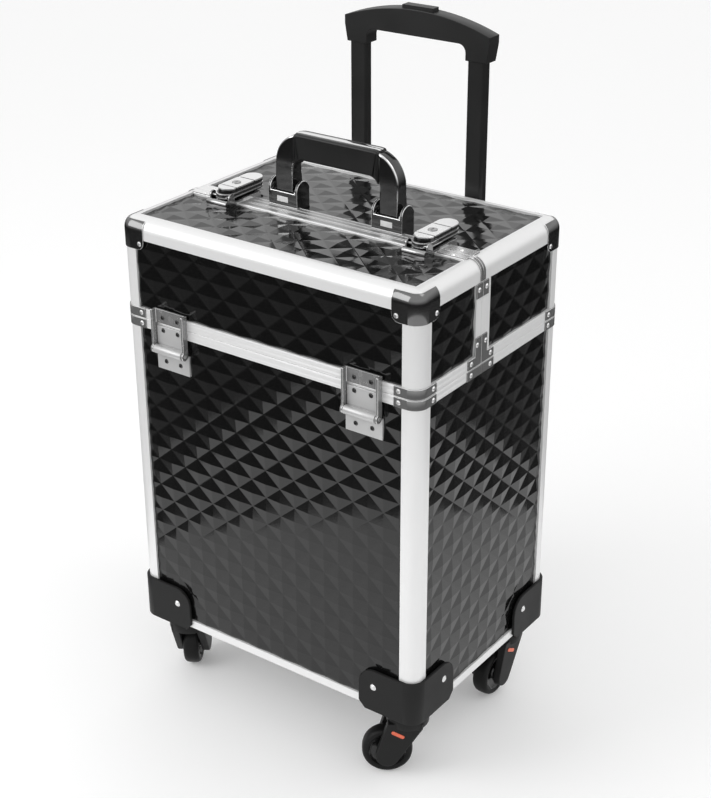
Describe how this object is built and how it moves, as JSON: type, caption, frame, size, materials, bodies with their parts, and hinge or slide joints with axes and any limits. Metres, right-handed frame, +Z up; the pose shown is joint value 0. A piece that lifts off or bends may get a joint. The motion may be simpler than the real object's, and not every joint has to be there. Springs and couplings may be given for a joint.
{
  "type": "makeup train case",
  "caption": "Wheeled trolley make-up case: diamond-embossed black panels in aluminium rails, lids with folding trays, locks, carry handle, telescopic handle and swivel casters.",
  "frame": {"origin": "on the floor, under the centre of the overall footprint at rest", "axes": "+Z up, +X to the case's right seen from the front, -Y out of the front face, +Y towards the trolley handle"},
  "size_m": [0.348, 0.2694, 0.695],
  "materials": {
    "panel": "glossy black sheet embossed with a diamond pattern",
    "rail": "satin anodised",
    "chrome": "polished",
    "black_metal": "black satin",
    "black_plastic": "black, fine grain",
    "grip_plastic": "black, satin",
    "lining": "black velvet lining",
    "tray": "black, with lined floors",
    "wheel": "black, moulded"
  },
  "bodies": {
    "case": {"front_panel": "panel", "back_panel": "panel", "side_panels": "panel", "bottom_panel": "black_plastic", "bin_lining": "lining", "corner_posts": "rail", "bottom_rails": "rail", "rim_rail": "rail", "body_brackets": "chrome", "body_rivets": "chrome", "corner_guards": "black_plastic", "front_hinge_bases": "chrome", "tray_arm_brackets": "chrome", "outer_tubes": "black_metal", "tube_clamps": "black_plastic", "rear_lid_back_panel": "panel", "rear_lid_top_panel": "panel", "rear_lid_side_panels": "panel", "rear_lid_edge_rails": "rail", "rear_lid_frame_rails": "rail", "rear_lid_corner_caps": "chrome", "rear_lid_brackets": "chrome", "rear_hinges": "chrome", "lock_keepers": "chrome", "handle_brackets": "chrome", "rear_upper_tray": "tray", "rear_lower_tray": "tray", "rear_tray_arms": "chrome"},
    "front_lid": {"front_lid_front_panel": "panel", "front_lid_top_panel": "panel", "front_lid_side_panels": "panel", "front_lid_edge_rails": "rail", "front_lid_frame_rails": "rail", "front_lid_corner_caps": "chrome", "front_lid_brackets": "chrome", "front_lid_rivets": "chrome", "front_hinge_leaves": "chrome", "lock_bases": "chrome", "front_tray_pivots": "chrome"},
    "front_upper_tray": {"front_upper_tray": "tray"},
    "front_lower_tray": {"front_lower_tray": "tray"},
    "front_tray_arms": {"front_tray_arms": "chrome"},
    "left_lock_lever": {"lock_lever_left": "chrome"},
    "right_lock_lever": {"lock_lever_right": "chrome"},
    "left_key_cylinder": {"key_cylinder_left": "chrome"},
    "right_key_cylinder": {"key_cylinder_right": "chrome"},
    "carry_handle": {"carry_handle_frame": "chrome", "carry_handle_grip": "grip_plastic"},
    "trolley_lower_stage": {"middle_tubes": "black_metal"},
    "trolley_upper_stage": {"inner_tubes": "black_metal", "trolley_grip": "grip_plastic"},
    "release_button": {"release_button": "grip_plastic"},
    "caster_fl": {"caster_fork_fl": "black_plastic"},
    "wheel_fl": {"caster_wheel_fl": "wheel"},
    "caster_fr": {"caster_fork_fr": "black_plastic"},
    "wheel_fr": {"caster_wheel_fr": "wheel"},
    "caster_rl": {"caster_fork_rl": "black_plastic"},
    "wheel_rl": {"caster_wheel_rl": "wheel"},
    "caster_rr": {"caster_fork_rr": "black_plastic"},
    "wheel_rr": {"caster_wheel_rr": "wheel"}
  },
  "joints": [
    {"name": "front_lid_hinge", "type": "hinge", "parent": "case", "child": "front_lid", "pos_m": [0, -0.13025, 0.399], "axis": [1, 0, 0], "range_deg": [0, 90]},
    {"name": "front_upper_tray_pivot", "type": "hinge", "parent": "front_lid", "child": "front_upper_tray", "pos_m": [0, -0.06825, 0.474], "axis": [1, 0, 0], "range_deg": [-90, 0]},
    {"name": "front_lower_tray_pivot", "type": "hinge", "parent": "front_lid", "child": "front_lower_tray", "pos_m": [0, -0.09925, 0.4365], "axis": [1, 0, 0], "range_deg": [-90, 0]},
    {"name": "front_tray_arm_pivot", "type": "hinge", "parent": "case", "child": "front_tray_arms", "pos_m": [0, -0.10125, 0.409], "axis": [1, 0, 0], "range_deg": [0, 90]},
    {"name": "left_lock_hinge", "type": "hinge", "parent": "front_lid", "child": "left_lock_lever", "pos_m": [-0.113, -0.04325, 0.53], "axis": [1, 0, 0], "range_deg": [0, 95]},
    {"name": "left_key_turn", "type": "hinge", "parent": "left_lock_lever", "child": "left_key_cylinder", "pos_m": [-0.113, -0.02125, 0.533], "axis": [0, 0, 1], "range_deg": [-90, 0]},
    {"name": "right_lock_hinge", "type": "hinge", "parent": "front_lid", "child": "right_lock_lever", "pos_m": [0.113, -0.04325, 0.53], "axis": [1, 0, 0], "range_deg": [0, 95]},
    {"name": "right_key_turn", "type": "hinge", "parent": "right_lock_lever", "child": "right_key_cylinder", "pos_m": [0.113, -0.02125, 0.533], "axis": [0, 0, 1], "range_deg": [0, 90]},
    {"name": "carry_handle_fold", "type": "hinge", "parent": "case", "child": "carry_handle", "pos_m": [0, -0.00675, 0.533], "axis": [-1, 0, 0], "range_deg": [0, 90]},
    {"name": "trolley_lower_stage_slide", "type": "slide", "parent": "case", "child": "trolley_lower_stage", "axis": [0, 0, 1], "range_m": [-0.145, 0.07]},
    {"name": "trolley_upper_stage_slide", "type": "slide", "parent": "trolley_lower_stage", "child": "trolley_upper_stage", "axis": [0, 0, 1], "range_m": [-0.145, 0.07]},
    {"name": "release_button_press", "type": "slide", "parent": "trolley_upper_stage", "child": "release_button", "axis": [0, 0, -1], "range_m": [0, 0.003], "stiffness_N_per_m": 400},
    {"name": "caster_fl_swivel", "type": "hinge", "parent": "case", "child": "caster_fl", "pos_m": [-0.141, -0.09325, 0.072], "axis": [0, 0, 1], "continuous": true},
    {"name": "wheel_fl_roll", "type": "hinge", "parent": "caster_fl", "child": "wheel_fl", "pos_m": [-0.1513, -0.07611, 0.025], "axis": [-0.8572, -0.515, 0], "continuous": true},
    {"name": "caster_fr_swivel", "type": "hinge", "parent": "case", "child": "caster_fr", "pos_m": [0.141, -0.09325, 0.072], "axis": [0, 0, 1], "continuous": true},
    {"name": "wheel_fr_roll", "type": "hinge", "parent": "caster_fr", "child": "wheel_fr", "pos_m": [0.12482, -0.10501, 0.025], "axis": [0.5878, -0.809, 0], "continuous": true},
    {"name": "caster_rl_swivel", "type": "hinge", "parent": "case", "child": "caster_rl", "pos_m": [-0.141, 0.08275, 0.072], "axis": [0, 0, 1], "continuous": true},
    {"name": "wheel_rl_roll", "type": "hinge", "parent": "caster_rl", "child": "wheel_rl", "pos_m": [-0.14784, 0.06396, 0.025], "axis": [0.9397, -0.342, 0], "continuous": true},
    {"name": "caster_rr_swivel", "type": "hinge", "parent": "case", "child": "caster_rr", "pos_m": [0.141, 0.08275, 0.072], "axis": [0, 0, 1], "continuous": true},
    {"name": "wheel_rr_roll", "type": "hinge", "parent": "caster_rr", "child": "wheel_rr", "pos_m": [0.141, 0.06275, 0.025], "axis": [1, 0, 0], "continuous": true}
  ],
  "couplings": [
    {"joint": "front_upper_tray_pivot", "follows": "front_lid_hinge", "ratio": -1},
    {"joint": "front_lower_tray_pivot", "follows": "front_lid_hinge", "ratio": -1},
    {"joint": "front_tray_arm_pivot", "follows": "front_lid_hinge", "ratio": 1}
  ]
}
